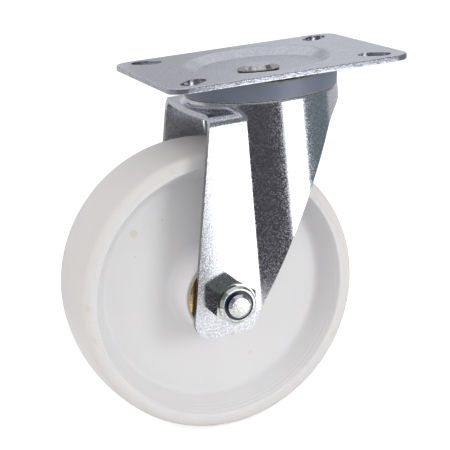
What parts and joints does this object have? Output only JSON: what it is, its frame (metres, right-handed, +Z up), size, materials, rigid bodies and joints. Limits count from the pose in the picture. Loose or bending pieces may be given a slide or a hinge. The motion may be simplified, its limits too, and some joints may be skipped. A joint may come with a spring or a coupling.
{
  "type": "swivel castor",
  "caption": "Swivel castor with a slotted top plate, a pressed zinc-plated fork on ball races, and a moulded white wheel with a roller bearing on a bolted axle.",
  "frame": {"origin": "where the swivel axis meets the plane of the top plate's upper face", "axes": "+Z up along the swivel axis, out of the mounting face; the wheel trails towards -X; the axle lies along Y with its nut at -Y"},
  "size_m": [0.147, 0.0805, 0.1555],
  "materials": {
    "zinc_plate": "satin zinc plating on pressed sheet",
    "zinc_fork": "bright zinc plating with fine spangle",
    "rivet_steel": "upset steel, worn bright",
    "setting_ring_steel": "steel with brown discoloration",
    "ball_steel": "polished bearing steel",
    "seal_plastic": "moulded blue-grey plastic",
    "white_nylon": "moulded white nylon, satin",
    "cage_plastic": "moulded natural plastic",
    "sleeve_steel": "drawn steel tube",
    "yellow_zinc": "yellow passivated zinc",
    "bolt_steel": "zinc-plated fastener steel",
    "insert_plastic": "navy blue plastic"
  },
  "bodies": {
    "plate": {"top_plate": "zinc_plate", "kingpin": "rivet_steel", "kingpin_setting_ring": "setting_ring_steel", "lower_race_cup": "zinc_plate"},
    "fork_assembly": {"fork": "zinc_fork", "dust_seal": "seal_plastic", "axle_sleeve": "sleeve_steel", "hub_shield_near": "yellow_zinc", "hub_shield_far": "yellow_zinc", "axle_bolt": "bolt_steel", "lock_nut": "bolt_steel", "lock_nut_insert": "insert_plastic"},
    "wheel": {"wheel": "white_nylon"},
    "hub_rollers": {"bearing_rollers": "ball_steel", "roller_cage": "cage_plastic"},
    "upper_balls": {"upper_ball_ring": "ball_steel"},
    "lower_balls": {"lower_ball_ring": "ball_steel"}
  },
  "joints": [
    {"name": "swivel", "type": "hinge", "parent": "plate", "child": "fork_assembly", "pos_m": [0, 0, 0], "axis": [0, 0, 1], "continuous": true},
    {"name": "wheel_spin", "type": "hinge", "parent": "fork_assembly", "child": "wheel", "pos_m": [-0.032, 0, -0.09298], "axis": [0, 1, 0], "continuous": true},
    {"name": "roller_orbit", "type": "hinge", "parent": "fork_assembly", "child": "hub_rollers", "pos_m": [-0.032, 0, -0.09298], "axis": [0, 1, 0], "continuous": true},
    {"name": "upper_ball_orbit", "type": "hinge", "parent": "plate", "child": "upper_balls", "pos_m": [0, 0, 0], "axis": [0, 0, 1], "continuous": true},
    {"name": "lower_ball_orbit", "type": "hinge", "parent": "plate", "child": "lower_balls", "pos_m": [0, 0, 0], "axis": [0, 0, 1], "continuous": true}
  ],
  "couplings": [
    {"joint": "roller_orbit", "follows": "wheel_spin", "ratio": 0.62121},
    {"joint": "upper_ball_orbit", "follows": "swivel", "ratio": 0.5},
    {"joint": "lower_ball_orbit", "follows": "swivel", "ratio": 0.5}
  ]
}
